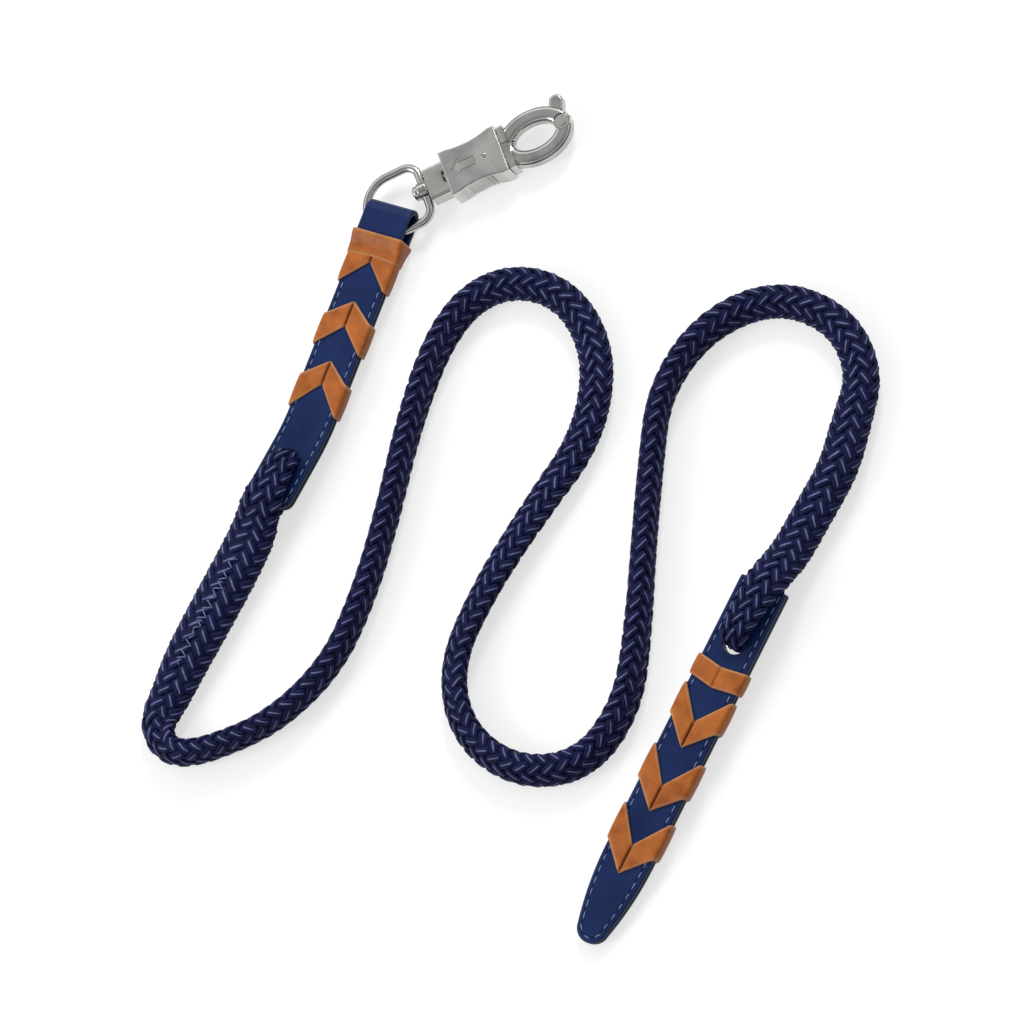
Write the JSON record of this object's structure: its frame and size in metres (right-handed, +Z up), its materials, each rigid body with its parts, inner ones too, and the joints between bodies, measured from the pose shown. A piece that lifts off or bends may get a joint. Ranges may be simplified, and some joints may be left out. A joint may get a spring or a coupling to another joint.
{
  "type": "braided lead rope with quick-release snap",
  "caption": "Navy braided lead rope with laced leather tabs and a swivelling quick-release snap, laid in loose curves.",
  "frame": {"origin": "middle of the object's footprint, on the surface that it lies on", "axes": "+Z up from the surface; the rope's loops run along Y, with the snap at +Y and the tail tab at -Y; +X across the loops"},
  "size_m": [0.3886, 0.4381, 0.0251],
  "materials": {
    "rope_braid": "hollow braid of navy polypropylene strands with a pale tracer",
    "tab_leather": "smooth dyed bridle leather, painted edge",
    "lace_leather": "tan lace leather, slightly glossy",
    "thread": "pale blue waxed thread",
    "nickel_plate": "nickel-plated casting",
    "spring_steel": "drawn spring wire"
  },
  "bodies": {
    "lead": {"rope": "rope_braid", "tail_splice": "rope_braid", "snap_splice": "rope_braid", "snap_splice_stitching": "thread", "snap_rope_eye": "rope_braid", "tail_rope_eye": "rope_braid", "snap_strap": "tab_leather", "snap_tab_stitching": "thread", "snap_lace_collar": "lace_leather", "snap_lace_chevron_a": "lace_leather", "snap_lace_chevron_b": "lace_leather", "tail_upper_leather": "tab_leather", "tail_lower_leather": "tab_leather", "tail_tab_stitching": "thread", "tail_lace_band": "lace_leather", "tail_lace_chevron_1": "lace_leather", "tail_lace_chevron_2": "lace_leather", "tail_lace_chevron_3": "lace_leather"},
    "eye": {"swivel_eye": "nickel_plate"},
    "snap": {"swivel_rivet": "nickel_plate", "snap_body": "nickel_plate", "hinge_pin": "nickel_plate", "return_spring": "spring_steel"},
    "sleeve": {"release_sleeve": "nickel_plate", "sleeve_pin": "nickel_plate"},
    "arm": {"release_arm": "nickel_plate"}
  },
  "joints": [
    {"name": "eye_tilt", "type": "hinge", "parent": "lead", "child": "eye", "pos_m": [-0.06249, 0.16234, 0.00783], "axis": [0.9304, -0.3665, 0], "range_deg": [-10, 10]},
    {"name": "snap_swivel", "type": "hinge", "parent": "eye", "child": "snap", "pos_m": [-0.0405, 0.1796, 0.0075], "axis": [0.9421, 0.3355, 0], "continuous": true},
    {"name": "sleeve_slide", "type": "slide", "parent": "snap", "child": "sleeve", "axis": [-0.9421, -0.3355, 0], "range_m": [0, 0.009], "stiffness_N_per_m": 600, "springref_m": -0.008, "deforming": ["return_spring"]},
    {"name": "arm_swing", "type": "hinge", "parent": "snap", "child": "arm", "pos_m": [0.03279, 0.2057, 0.0075], "axis": [0, 0, -1], "range_deg": [0, 45.1]}
  ],
  "couplings": [
    {"joint": "arm_swing", "follows": "sleeve_slide", "rad_per_m": 87.266}
  ]
}
